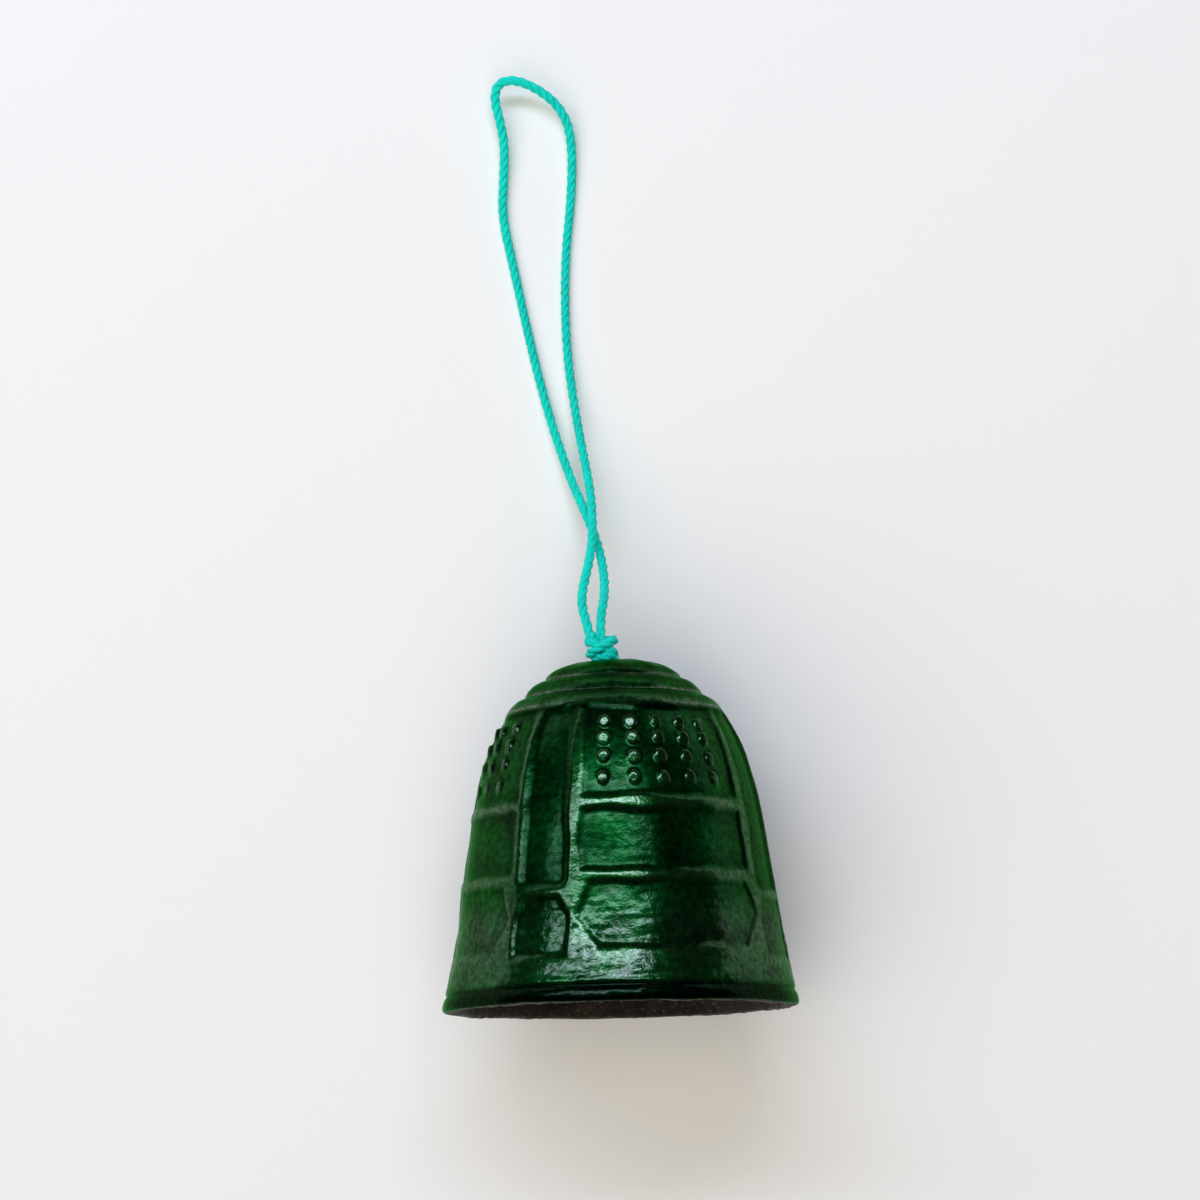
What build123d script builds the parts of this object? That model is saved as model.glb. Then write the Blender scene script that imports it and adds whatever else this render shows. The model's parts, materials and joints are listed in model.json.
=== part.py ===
import os
from math import atan, atan2, cos, degrees, hypot, radians, sin, sqrt, tan

from build123d import *

os.makedirs("parts", exist_ok=True)

# Bell shell
rim_radius = 33.0
bell_height = 65.3
rim_wall = 3.0
shell_wall = 2.6
crown_wall = 3.6
lip_height = 1.9
lip_taper = 0.2
lip_round = 0.5
hole_clearance = 0.3
cut_overrun = 2.0

# Outer wall from the lip to the shoulder, as (share of bell height, share of rim radius)
wall_shares = (
    (0.055, 0.983),
    (0.138, 0.948),
    (0.245, 0.913),
    (0.398, 0.870),
    (0.536, 0.830),
    (0.674, 0.768),
    (0.766, 0.7015),
    (0.842, 0.618),
)
strike_node = 2
spring_node = 6

# Crown tiers above the shoulder, as (share of bell height, share of rim radius)
low_tier_share = (0.887, 0.509)
dome_share = (0.937, 0.388)
low_tier_bulge = 0.5
high_tier_bulge = 0.8

# Cast relief, with heights as (low share, high share) of the bell height
relief_depth = 0.45
field_top_share = 0.832
boss_field_share = (0.570, field_top_share)
pond_field_share = (0.366, 0.533)
band_flat_share = (0.322, field_top_share)
lower_field_share = (0.150, 0.328)
house_field_share = (0.128, 0.294)
house_eaves_share = 0.667
wide_panel_turn = 20.4
wide_panel_angle = 67.8
narrow_panel_turn = -68.0
narrow_panel_angle = 50.0
border_ridge_angle = 6.0
funnel_angle = 6.5
stem_angle = 3.8

# Bosses, in rows at shares of the outer wall's curve
boss_radius = 1.15
boss_tip_radius = 0.45
boss_height = 0.8
boss_root = 0.5
boss_pitch_angle = 12.2
wide_panel_columns = 5
narrow_panel_columns = 3
boss_row_shares = (0.692, 0.763, 0.829, 0.896)

# Cord and knots
cord_diameter = 1.85
strand_gap = 0.1
strand_shift = -0.5
strand_sink = 1.0
knot_sink = 0.5
stop_knot_radius = 3.6
stop_knot_height = 5.2
top_knot_width = 6.6
top_knot_height = 4.8
top_knot_shift = -2.2
knot_round_share = 0.85

# Clapper
clapper_radius = 9.5
clapper_bead_radius = 2.0
clapper_hub_radius = 3.2
clapper_hub_rise = 1.6
clapper_bore_clearance = 0.3
clapper_knot_radius = 2.3
clapper_knot_height = 3.4

# Gap kept between pieces that move past each other, and between seated soft pieces
running_clearance = 0.3
seat_clearance = 0.1

# Each bend of the loop takes this share of the shorter run beside it
bend_share = 0.45

# The hanging loop's route on the table, up one side and back down the other
loop_route = [
    (-4.05, 38.3, 21.3),
    (-4.5, 41.0, 20.5),
    (-5.9, 45.9, 18.1),
    (-4.4, 52.0, 14.7),
    (-3.4, 56.4, 12.2),
    (-3.2, 60.6, 10.7),
    (-3.4, 67.0, 7.1),
    (-5.7, 79.9, 2.9),
    (-7.6, 94.4, 1.2),
    (-7.5, 111.4, 0.95),
    (-5.7, 125.3, 0.95),
    (-5.5, 136.4, 1.8),
    (-7.8, 141.6, 3.2),
    (-12.0, 144.9, 4.6),
    (-16.4, 146.7, 5.2),
    (-19.5, 146.0, 4.9),
    (-20.3, 143.2, 4.1),
    (-19.4, 139.4, 3.2),
    (-18.5, 134.6, 2.3),
    (-18.8, 128.5, 1.6),
    (-19.4, 120.8, 1.1),
    (-17.4, 110.9, 0.95),
    (-14.4, 95.5, 0.95),
    (-11.2, 81.8, 1.5),
    (-7.3, 69.5, 3.4),
    (-4.2, 62.2, 6.2),
    (-1.7, 55.0, 10.5),
    (-1.0, 47.8, 15.7),
    (-2.3, 42.0, 19.7),
    (-2.05, 38.4, 21.3),
]

# The wall's points: radius and height above the rim, in a half section of the bell
wall_points = [(share[1] * rim_radius, share[0] * bell_height) for share in wall_shares]
inner_points = [(radius - shell_wall, height) for radius, height in wall_points]
field_points = [(radius - relief_depth, height) for radius, height in wall_points]
shoulder_radius, shoulder_height = wall_points[-1]
low_tier_height, low_tier_radius = low_tier_share[0] * bell_height, low_tier_share[1] * rim_radius
dome_base_height, dome_radius = dome_share[0] * bell_height, dome_share[1] * rim_radius
dome_rise = bell_height - dome_base_height
ceiling_height = bell_height - crown_wall
boss_rise = boss_height - relief_depth

# The bell lies on its lip's upper edge and on its lowest row of bosses, which set the tilt
wall_curve = Edge.make_spline([Vector(radius, height, 0) for radius, height in wall_points])
rest_point = wall_curve.position_at(boss_row_shares[0])
lip_radius = rim_radius - lip_taper
bell_tilt = atan((lip_radius - rest_point.X - boss_rise) / (rest_point.Y - lip_height))
rest_level = lip_radius * cos(bell_tilt) + lip_height * sin(bell_tilt)
bell_length = (
    rim_radius * sin(bell_tilt)
    + dome_base_height * cos(bell_tilt)
    + hypot(dome_rise * cos(bell_tilt), dome_radius * sin(bell_tilt))
)
rim_centre = Vector(0, rim_radius * sin(bell_tilt) - bell_length / 2, rest_level)
axis_direction = Vector(0, cos(bell_tilt), -sin(bell_tilt))
up_direction = Vector(0, sin(bell_tilt), cos(bell_tilt))
side_direction = Vector(1, 0, 0)
bell_axis = Axis(rim_centre, axis_direction)


def outward(angle):
    """The direction away from the bell's axis at an angle from the bell's upper side."""
    return up_direction * cos(radians(angle)) + side_direction * sin(radians(angle))


def section_plane(angle):
    """The half section at an angle: x is the radius and y the height above the rim."""
    direction = outward(angle)
    return Plane(rim_centre, x_dir=direction, z_dir=direction.cross(axis_direction))


def panel_plane(angle):
    """The plane along the axis that faces outward at an angle: y is the height above the rim."""
    direction = outward(angle)
    return Plane(rim_centre, x_dir=axis_direction.cross(direction), z_dir=direction)


def level_plane(height):
    """The plane across the axis at a height above the rim, facing the crown."""
    return Plane(rim_centre + axis_direction * height, x_dir=side_direction, z_dir=axis_direction)


def wall_radius(share):
    """The outer wall's radius at a share of the bell's height, between its points."""
    height = share * bell_height
    for (low_radius, low), (high_radius, high) in zip(wall_points, wall_points[1:]):
        if low <= height <= high:
            return low_radius + (high_radius - low_radius) * (height - low) / (high - low)
    return shoulder_radius


def bend_radii(route):
    """The radius of each bend: as large as the two runs beside it allow."""
    points = [Vector(point) for point in route]
    radii = []
    for before, at, after in zip(points, points[1:], points[2:]):
        half_turn = radians((at - before).get_angle(after - at)) / 2
        shorter_run = min((at - before).length, (after - at).length)
        radii.append(bend_share * shorter_run / tan(half_turn))
    return radii


def route_length(route):
    points = [Vector(point) for point in route]
    return sum((after - before).length for before, after in zip(points, points[1:]))


# The skin that holds the recessed fields: a full turn, from the field level outward
skin_radius = rim_radius + cut_overrun


def skin_section(plane, low_share, high_share):
    """The skin's section between two heights, on a section plane."""
    with BuildSketch(plane) as section:
        with BuildLine():
            Spline(*field_points)
            Polyline(
                field_points[-1],
                (skin_radius, field_points[-1][1]),
                (skin_radius, field_points[0][1]),
                field_points[0],
            )
        make_face()
        with Locations((0, low_share * bell_height)):
            Rectangle(
                skin_radius,
                (high_share - low_share) * bell_height,
                align=(Align.MIN, Align.MIN),
                mode=Mode.INTERSECT,
            )
    return section.sketch


# Two panels and the two bands between them make half the bell, and the other half repeats them
panels = [
    (wide_panel_turn, wide_panel_angle, wide_panel_columns),
    (narrow_panel_turn, narrow_panel_angle, narrow_panel_columns),
]
wide_start = wide_panel_turn - wide_panel_angle / 2
wide_end = wide_panel_turn + wide_panel_angle / 2
narrow_start = narrow_panel_turn - narrow_panel_angle / 2 + 180
narrow_end = narrow_panel_turn + narrow_panel_angle / 2
bands = [
    ((narrow_end + wide_start) / 2, wide_start - narrow_end),
    ((wide_end + narrow_start) / 2, narrow_start - wide_end),
]

# Fields with straight sides
straight_fields = []
for turn, width_angle, columns in panels:
    straight_fields.append((turn, width_angle, boss_field_share))
    straight_fields.append((turn, width_angle, pond_field_share))
for turn, width_angle in bands:
    straight_fields.append((turn, width_angle - 2 * border_ridge_angle, band_flat_share))

with BuildPart() as straight_relief:
    for turn, width_angle, height_share in straight_fields:
        for half_turn in (0, 180):
            start = section_plane(turn + half_turn - width_angle / 2)
            revolve(skin_section(start, *height_share), axis=bell_axis, revolution_arc=width_angle)

with BuildPart() as skin:
    revolve(skin_section(section_plane(0), house_field_share[0] / 2, field_top_share), axis=bell_axis)


def half_width(share, angle):
    """Half the width, across the panel, of a field with this half angle at this height."""
    return wall_radius(share) * sin(radians(angle))


def lower_field_outline(panel_angle):
    """The lower field under a panel: a low hexagon whose side tips point at the stems."""
    low, high = lower_field_share
    middle = (low + high) / 2
    edge = panel_angle / 2
    corners = [
        (half_width(high, edge - funnel_angle / 2), high * bell_height),
        (half_width(middle, edge + (border_ridge_angle - stem_angle) / 2), middle * bell_height),
        (half_width(low, edge - funnel_angle), low * bell_height),
    ]
    return corners + [(-across, up) for across, up in reversed(corners)]


def house_field_outline(band_angle):
    """The lower field under a band: a rectangle with its two upper corners cut off."""
    low, high = house_field_share
    edge = (band_angle - border_ridge_angle - stem_angle) / 2
    eaves = low + (high - low) * house_eaves_share
    corners = [
        (half_width(high, edge - funnel_angle / 2), high * bell_height),
        (half_width(eaves, edge), eaves * bell_height),
        (half_width(low, edge), low * bell_height),
    ]
    return corners + [(-across, up) for across, up in reversed(corners)]


shaped_fields = [(turn, lower_field_outline(width_angle)) for turn, width_angle, columns in panels]
shaped_fields += [(turn, house_field_outline(width_angle)) for turn, width_angle in bands]

with BuildPart() as shaped_relief:
    for turn, outline in shaped_fields:
        for half_turn in (0, 180):
            with BuildSketch(panel_plane(turn + half_turn)):
                with BuildLine():
                    Polyline(*outline, close=True)
                make_face()
            extrude(amount=skin_radius)
    add(skin.part, mode=Mode.INTERSECT)

# Bosses stand on the boss fields along the wall's own normal
boss_places = []
for turn, width_angle, columns in panels:
    for half_turn in (0, 180):
        for column in range(columns):
            angle = turn + half_turn + (column - (columns - 1) / 2) * boss_pitch_angle
            for row_share in boss_row_shares:
                point = wall_curve.position_at(row_share)
                along = wall_curve.tangent_at(row_share)
                normal = outward(angle) * along.Y - axis_direction * along.X
                level = outward(angle) * point.X + axis_direction * point.Y
                foot = rim_centre + level - normal * (relief_depth + boss_root)
                boss_places.append(Location(Plane(foot, z_dir=normal)))


# The cast shell, its crown hole, its relief and its bosses
def middle_bulge(start, end, bulge):
    """The middle of an arc from start to end that stands out by the bulge."""
    along = Vector(*end) - Vector(*start)
    out = Vector(along.Y, -along.X).normalized()
    return Vector(*start) + along * 0.5 + out * bulge


crown_points = [
    (shoulder_radius, shoulder_height),
    (low_tier_radius, low_tier_height),
    (dome_radius, dome_base_height),
]
spring_radius, spring_height = inner_points[spring_node]
strands_reach = cord_diameter + strand_gap / 2 + abs(strand_shift)
hole_radius = strands_reach + hole_clearance
vault_rise = ceiling_height - spring_height
vault_radius = (spring_radius**2 + vault_rise**2) / (2 * vault_rise)
vault_centre = ceiling_height - vault_radius
vault_turn = atan2(spring_radius, spring_height - vault_centre) / 2
vault_middle = (vault_radius * sin(vault_turn), vault_centre + vault_radius * cos(vault_turn))

with BuildPart() as bell_body:
    with BuildSketch(section_plane(0)) as shell_section:
        with BuildLine():
            Polyline(
                (rim_radius - rim_wall, 0),
                (rim_radius, 0),
                (lip_radius, lip_height),
                wall_points[0],
            )
            Spline(*wall_points)
            for start, end, bulge in (
                (crown_points[0], crown_points[1], low_tier_bulge),
                (crown_points[1], crown_points[2], high_tier_bulge),
            ):
                ThreePointArc(start, middle_bulge(start, end, bulge), end)
            EllipticalCenterArc((0, dome_base_height), dome_radius, dome_rise, arc_size=90)
            Line((0, bell_height), (0, ceiling_height))
            ThreePointArc((0, ceiling_height), vault_middle, inner_points[spring_node])
            Spline((rim_radius - rim_wall, 0), *inner_points[1 : spring_node + 1])
        make_face()
        fillet(
            shell_section.vertices().group_by(Axis.Y)[0].sort_by(Axis.X)[-1],
            radius=lip_round,
        )
    revolve(axis=bell_axis)
    with BuildSketch(level_plane(spring_height)):
        Circle(hole_radius)
    extrude(amount=bell_height, mode=Mode.SUBTRACT)
    add(straight_relief.part, mode=Mode.SUBTRACT)
    add(shaped_relief.part, mode=Mode.SUBTRACT)
    with Locations(*boss_places):
        Cone(
            boss_radius,
            boss_tip_radius,
            boss_height + boss_root,
            align=(Align.CENTER, Align.CENTER, Align.MIN),
        )
bell_body.part.label = "bell_body"
export_step(bell_body.part, "parts/bell_body.step")


def knot_half(plane, radius, height):
    """Half of a round knot's outline, to turn about the plane's y axis."""
    with BuildSketch(plane) as half:
        Rectangle(radius, height, align=(Align.MIN, Align.CENTER))
        fillet(
            half.vertices().group_by(Axis.X)[-1],
            radius=knot_round_share * min(radius, height / 2),
        )
    return half.sketch


# The stop knot under the crown, which carries the bell
stop_knot_top = ceiling_height - running_clearance
stop_knot_middle = stop_knot_top - stop_knot_height / 2
stop_knot_plane = Plane(
    rim_centre + axis_direction * stop_knot_middle,
    x_dir=up_direction,
    z_dir=up_direction.cross(axis_direction),
)
with BuildPart() as stop_knot:
    revolve(knot_half(stop_knot_plane, stop_knot_radius, stop_knot_height), axis=bell_axis)
stop_knot.part.label = "stop_knot"
export_step(stop_knot.part, "parts/stop_knot.step")

# The two strands that go through the crown hole
strand_foot = stop_knot_top - strand_sink
strand_pitch = cord_diameter + strand_gap
with BuildPart() as crown_strands:
    with BuildSketch(level_plane(strand_foot)):
        with Locations((strand_shift, 0)):
            with GridLocations(strand_pitch, 0, 2, 1):
                Circle(cord_diameter / 2)
    extrude(amount=bell_height - strand_foot)
crown_strands.part.label = "crown_strands"
export_step(crown_strands.part, "parts/crown_strands.step")

# The top knot, round about the side to side axis on which the loop swings
top_knot_centre = bell_height + running_clearance + top_knot_height / 2
top_knot_place = level_plane(top_knot_centre).origin + side_direction * top_knot_shift
top_knot_plane = Plane(top_knot_place, x_dir=up_direction, z_dir=up_direction.cross(side_direction))
with BuildPart() as top_knot:
    revolve(
        knot_half(top_knot_plane, top_knot_height / 2, top_knot_width),
        axis=Axis(top_knot_place, side_direction),
    )
top_knot.part.label = "top_knot"
export_step(top_knot.part, "parts/top_knot.step")

# The hanging loop, one cord from the knot and back to it
loop_radii = bend_radii(loop_route)
with BuildPart() as hanging_loop:
    with BuildLine() as loop_line:
        FilletPolyline(*loop_route, radius=loop_radii)
    with BuildSketch(Plane(loop_line.line @ 0, z_dir=loop_line.line % 0)):
        Circle(cord_diameter / 2)
    sweep()
hanging_loop.part.label = "hanging_loop"
export_step(hanging_loop.part, "parts/hanging_loop.step")

# The clapper swings from a round cord end just under the stop knot until its bead nears the wall
strike_radius, strike_height = inner_points[strike_node]
next_radius, next_height = inner_points[strike_node + 1]
wall_lean = atan2(strike_radius - next_radius, next_height - strike_height)
bead_reach = clapper_radius - clapper_bead_radius
pivot_height = stop_knot_top - stop_knot_height - running_clearance - cord_diameter / 2
strike_drop = pivot_height - strike_height
strike_reach = strike_radius - (clapper_bead_radius + running_clearance) / cos(wall_lean)
clapper_drop = sqrt(hypot(strike_drop, strike_reach) ** 2 - bead_reach**2)
swing_angle = atan2(strike_reach, strike_drop) - atan2(bead_reach, clapper_drop)
pivot = level_plane(pivot_height).origin
hang_direction = -axis_direction * cos(swing_angle) - up_direction * sin(swing_angle)
hang_side = side_direction.cross(hang_direction)
hang_axis = Axis(pivot, hang_direction)
clapper_bore = cord_diameter / 2 + clapper_bore_clearance
clapper_knot_middle = (
    clapper_drop + clapper_bead_radius + seat_clearance + clapper_knot_height / 2
)


def hanging_plane(drop):
    """The half section through the clapper: x is the radius and y the drop from the given place."""
    place = pivot + hang_direction * drop
    return Plane(place, x_dir=hang_side, z_dir=hang_side.cross(hang_direction))


with BuildPart() as clapper_cord:
    with BuildSketch(hanging_plane(0)):
        with BuildLine():
            Polyline(
                (0, -cord_diameter / 2),
                (0, clapper_knot_middle - knot_sink),
                (cord_diameter / 2, clapper_knot_middle - knot_sink),
                (cord_diameter / 2, 0),
            )
            CenterArc((0, 0), cord_diameter / 2, -90, 90)
        make_face()
    revolve(axis=hang_axis)
clapper_cord.part.label = "clapper_cord"
export_step(clapper_cord.part, "parts/clapper_cord.step")

hub_top = -clapper_bead_radius - clapper_hub_rise
with BuildPart() as clapper:
    with BuildSketch(hanging_plane(clapper_drop)):
        with BuildLine():
            Polyline(
                (bead_reach, clapper_bead_radius),
                (clapper_bore, clapper_bead_radius),
                (clapper_bore, hub_top),
                (clapper_hub_radius, hub_top),
                (bead_reach, -clapper_bead_radius),
            )
            CenterArc((bead_reach, 0), clapper_bead_radius, -90, 180)
        make_face()
    revolve(axis=hang_axis)
clapper.part.label = "clapper"
export_step(clapper.part, "parts/clapper.step")

clapper_knot_plane = hanging_plane(clapper_knot_middle)
with BuildPart() as clapper_knot:
    revolve(
        knot_half(clapper_knot_plane, clapper_knot_radius, clapper_knot_height),
        axis=hang_axis,
    )
clapper_knot.part.label = "clapper_knot"
export_step(clapper_knot.part, "parts/clapper_knot.step")

# Sizes that the record repeats
loop_section = radians(180) * cord_diameter**2 / 4
loop_length = sum(edge.length for edge in loop_line.line.edges())
print("bend radii", [round(radius, 1) for radius in loop_radii])
print("loop runs", round(route_length(loop_route), 1), "line", round(loop_length, 2))
print("loop volume share", round(hanging_loop.part.volume / loop_section / loop_length, 4))
print("bell tilt", round(degrees(bell_tilt), 3), "length", round(bell_length, 3))
print("rim centre", rim_centre, "axis", axis_direction)
print("pivot", pivot, "swing", round(degrees(2 * swing_angle), 3))
print("top knot", top_knot_place, "loop top", loop_route[len(loop_route) // 2])
print("clapper drop", round(clapper_drop, 2), "hole radius", round(hole_radius, 3))
print("bell box", bell_body.part.bounding_box())
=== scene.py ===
import json
import math

import bpy
import numpy as np
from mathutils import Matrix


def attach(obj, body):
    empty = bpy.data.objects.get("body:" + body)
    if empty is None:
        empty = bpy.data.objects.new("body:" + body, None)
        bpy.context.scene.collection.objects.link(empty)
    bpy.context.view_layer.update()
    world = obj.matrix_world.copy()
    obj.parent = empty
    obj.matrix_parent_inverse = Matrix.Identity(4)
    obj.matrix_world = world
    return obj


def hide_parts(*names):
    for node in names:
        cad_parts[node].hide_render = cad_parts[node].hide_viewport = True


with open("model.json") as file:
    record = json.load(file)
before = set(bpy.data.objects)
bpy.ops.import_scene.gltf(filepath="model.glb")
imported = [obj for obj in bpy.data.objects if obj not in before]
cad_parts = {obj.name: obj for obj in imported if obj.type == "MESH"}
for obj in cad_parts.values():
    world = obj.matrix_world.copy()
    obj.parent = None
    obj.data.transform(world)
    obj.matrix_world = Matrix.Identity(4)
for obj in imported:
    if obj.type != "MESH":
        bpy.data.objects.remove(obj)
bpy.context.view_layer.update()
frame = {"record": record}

MM = 0.001
rng = np.random.default_rng(7)
scene = bpy.context.scene
joints = {joint["name"]: joint for joint in frame["record"]["behaviour"]["joints"]}

# The bell's own axes as it lies: heights run from the rim along its axis to the crown
RIM = np.array(joints["cord_turn"]["pos_m"]) / MM
AXIS = np.array(joints["cord_turn"]["axis"])
SIDE = np.array((1.0, 0.0, 0.0))
UP = np.cross(SIDE, AXIS)
UP = UP / np.linalg.norm(UP)

# Camera, straight above the bell, turned a little: place in millimetres, roll in degrees
CAMERA_PLACE = (-2.15, 46.08, 744.0)
CAMERA_ROLL = -1.34
CAMERA_LENS = 115.14
SENSOR_WIDTH = 36.0
NEAREST, FARTHEST = 0.01, 20.0

camera_data = bpy.data.cameras.new("photo_camera")
camera_data.lens = CAMERA_LENS
camera_data.sensor_width = SENSOR_WIDTH
camera_data.clip_start = NEAREST
camera_data.clip_end = FARTHEST
camera = bpy.data.objects.new("photo_camera", camera_data)
camera.location = [value * MM for value in CAMERA_PLACE]
camera.rotation_euler = (0.0, 0.0, math.radians(CAMERA_ROLL))
scene.collection.objects.link(camera)
scene.camera = camera


# Helpers for meshes
def new_object(name, data, body):
    """An object in the scene that rides on a body."""
    piece = bpy.data.objects.new(name, data)
    scene.collection.objects.link(piece)
    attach(piece, body)
    return piece


def quads(rows, columns, closed_rows=False):
    """The faces of a grid whose columns close on themselves, as an array of vertex numbers."""
    row = np.arange(rows if closed_rows else rows - 1)[:, None]
    column = np.arange(columns)[None, :]
    here = row * columns + column
    beside = row * columns + (column + 1) % columns
    up = columns * ((row + 1) % rows - row)
    return np.stack([here, beside, beside + up, here + up], axis=-1).reshape(-1, 4)


def fill_mesh(name, points, faces, uvs=None, attributes=None):
    """A smooth mesh from arrays of points in millimetres and of four-sided faces."""
    mesh = bpy.data.meshes.new(name)
    mesh.vertices.add(len(points))
    mesh.vertices.foreach_set("co", (np.asarray(points) * MM).astype(np.float32).ravel())
    mesh.loops.add(faces.size)
    mesh.loops.foreach_set("vertex_index", faces.ravel().astype(np.int32))
    mesh.polygons.add(len(faces))
    mesh.polygons.foreach_set("loop_start", np.arange(0, faces.size, 4, dtype=np.int32))
    mesh.polygons.foreach_set("use_smooth", np.ones(len(faces), dtype=bool))
    if uvs is not None:
        layer = mesh.uv_layers.new(name="unrolled")
        layer.data.foreach_set("uv", uvs.astype(np.float32).ravel())
    for key, values in (attributes or {}).items():
        layer = mesh.attributes.new(key, "FLOAT", "POINT")
        layer.data.foreach_set("value", values.astype(np.float32).ravel())
    mesh.update(calc_edges=True)
    mesh.validate()
    return mesh


# Ropes: three strands laid round a path, sizes in millimetres
LAY_PITCH = 5.5
STRAND_COUNT = 3
STRAND_RADIUS = 0.5
STRAND_OFFSET = 0.45
STRAND_SIDES = 10
ROUTE_RESOLUTION = 16
FIRST_REFERENCE = (0.3, 0.2, 0.9)
TURN_BETWEEN_ROPES = 1.3


def smooth_route(points):
    """The points of the smooth line that a given route draws, in millimetres."""
    curve = bpy.data.curves.new("route", "CURVE")
    curve.dimensions = "3D"
    curve.resolution_u = ROUTE_RESOLUTION
    spline = curve.splines.new("NURBS")
    spline.points.add(len(points) - 1)
    for spot, point in zip(spline.points, points):
        spot.co = (*point, 1.0)
    spline.order_u = 3
    spline.use_endpoint_u = True
    guide = bpy.data.objects.new("route", curve)
    mesh = bpy.data.meshes.new_from_object(guide)
    line = np.array([vertex.co[:] for vertex in mesh.vertices])
    bpy.data.meshes.remove(mesh)
    bpy.data.objects.remove(guide)
    bpy.data.curves.remove(curve)
    return line


def frames_along(line):
    """Tangents, two normals that don't spin, and lengths so far, for a line's points."""
    steps = np.diff(line, axis=0)
    lengths = np.concatenate([[0.0], np.cumsum(np.linalg.norm(steps, axis=1))])
    tangents = np.gradient(line, axis=0)
    tangents /= np.linalg.norm(tangents, axis=1)[:, None]
    first = np.cross(tangents[0], FIRST_REFERENCE)
    normals = [first / np.linalg.norm(first)]
    for tangent in tangents[1:]:
        normal = normals[-1] - tangent * np.dot(normals[-1], tangent)
        normals.append(normal / np.linalg.norm(normal))
    normals = np.array(normals)
    return tangents, normals, np.cross(tangents, normals), lengths


def rope_arrays(line, size=1.0, start_turn=0.0):
    """Points, faces and unrolled coordinates of a laid rope along a line."""
    tangents, normals, sides, lengths = frames_along(line)
    points, faces, uvs = [], [], []
    around = np.linspace(0, 2 * np.pi, STRAND_SIDES, endpoint=False)
    grid = quads(len(line), STRAND_SIDES)
    for strand in range(STRAND_COUNT):
        turn = start_turn + 2 * np.pi * (lengths / (LAY_PITCH * size) + strand / STRAND_COUNT)
        out = normals * np.cos(turn)[:, None] + sides * np.sin(turn)[:, None]
        centre = line + out * STRAND_OFFSET * size
        way = np.gradient(centre, axis=0)
        way /= np.linalg.norm(way, axis=1)[:, None]
        across = np.cross(way, out)
        ring = (
            centre[:, None, :]
            + out[:, None, :] * np.cos(around)[None, :, None] * STRAND_RADIUS * size
            + across[:, None, :] * np.sin(around)[None, :, None] * STRAND_RADIUS * size
        )
        faces.append(grid + len(points) * len(line) * STRAND_SIDES)
        points.append(ring.reshape(-1, 3))
        column = (grid % STRAND_SIDES).astype(float)
        column[:, 1:3] = np.where(column[:, 1:3] == 0, STRAND_SIDES, column[:, 1:3])
        uvs.append(np.stack([column / STRAND_SIDES, lengths[grid // STRAND_SIDES]], axis=-1))
    # The strands' ends are closed with faces of four sides, from edge to edge
    caps = []
    ring = np.arange(STRAND_SIDES)
    last_ring = ring + (len(line) - 1) * STRAND_SIDES
    for strand in range(STRAND_COUNT):
        base = strand * len(line) * STRAND_SIDES
        for order in (base + ring[::-1], base + last_ring):
            for step in range(1, STRAND_SIDES // 2):
                caps.append([order[step - 1], order[step], order[-step - 1], order[-step]])
    caps = np.array(caps)
    points = np.concatenate(points)
    faces = np.concatenate(faces + [caps])
    uvs = np.concatenate([np.concatenate(uvs), np.zeros((len(caps), 4, 2))])
    return points, faces, uvs


def rope_mesh(name, lines, size=1.0):
    """One mesh of several ropes, each turned on from the one before."""
    points, faces, uvs = [], [], []
    total = 0
    for number, line in enumerate(lines):
        start_turn = number * TURN_BETWEEN_ROPES
        some_points, some_faces, some_uvs = rope_arrays(line, size, start_turn)
        faces.append(some_faces + total)
        total += len(some_points)
        points.append(some_points)
        uvs.append(some_uvs)
    return fill_mesh(name, np.concatenate(points), np.concatenate(faces), np.concatenate(uvs))


# The hanging loop, along the same route as its solid
loop_route = [
    (-4.05, 38.3, 21.3),
    (-4.5, 41.0, 20.5),
    (-5.9, 45.9, 18.1),
    (-4.4, 52.0, 14.7),
    (-3.4, 56.4, 12.2),
    (-3.2, 60.6, 10.7),
    (-3.4, 67.0, 7.1),
    (-5.7, 79.9, 2.9),
    (-7.6, 94.4, 1.2),
    (-7.5, 111.4, 0.95),
    (-5.7, 125.3, 0.95),
    (-5.5, 136.4, 1.8),
    (-7.8, 141.6, 3.2),
    (-12.0, 144.9, 4.6),
    (-16.4, 146.7, 5.2),
    (-19.5, 146.0, 4.9),
    (-20.3, 143.2, 4.1),
    (-19.4, 139.4, 3.2),
    (-18.5, 134.6, 2.3),
    (-18.8, 128.5, 1.6),
    (-19.4, 120.8, 1.1),
    (-17.4, 110.9, 0.95),
    (-14.4, 95.5, 0.95),
    (-11.2, 81.8, 1.5),
    (-7.3, 69.5, 3.4),
    (-4.2, 62.2, 6.2),
    (-1.7, 55.0, 10.5),
    (-1.0, 47.8, 15.7),
    (-2.3, 42.0, 19.7),
    (-2.05, 38.4, 21.3),
]
loop_line = smooth_route(loop_route)
loop = new_object("cord_loop", rope_mesh("cord_loop", [loop_line]), "loop")
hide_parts("hanging_loop")

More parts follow.
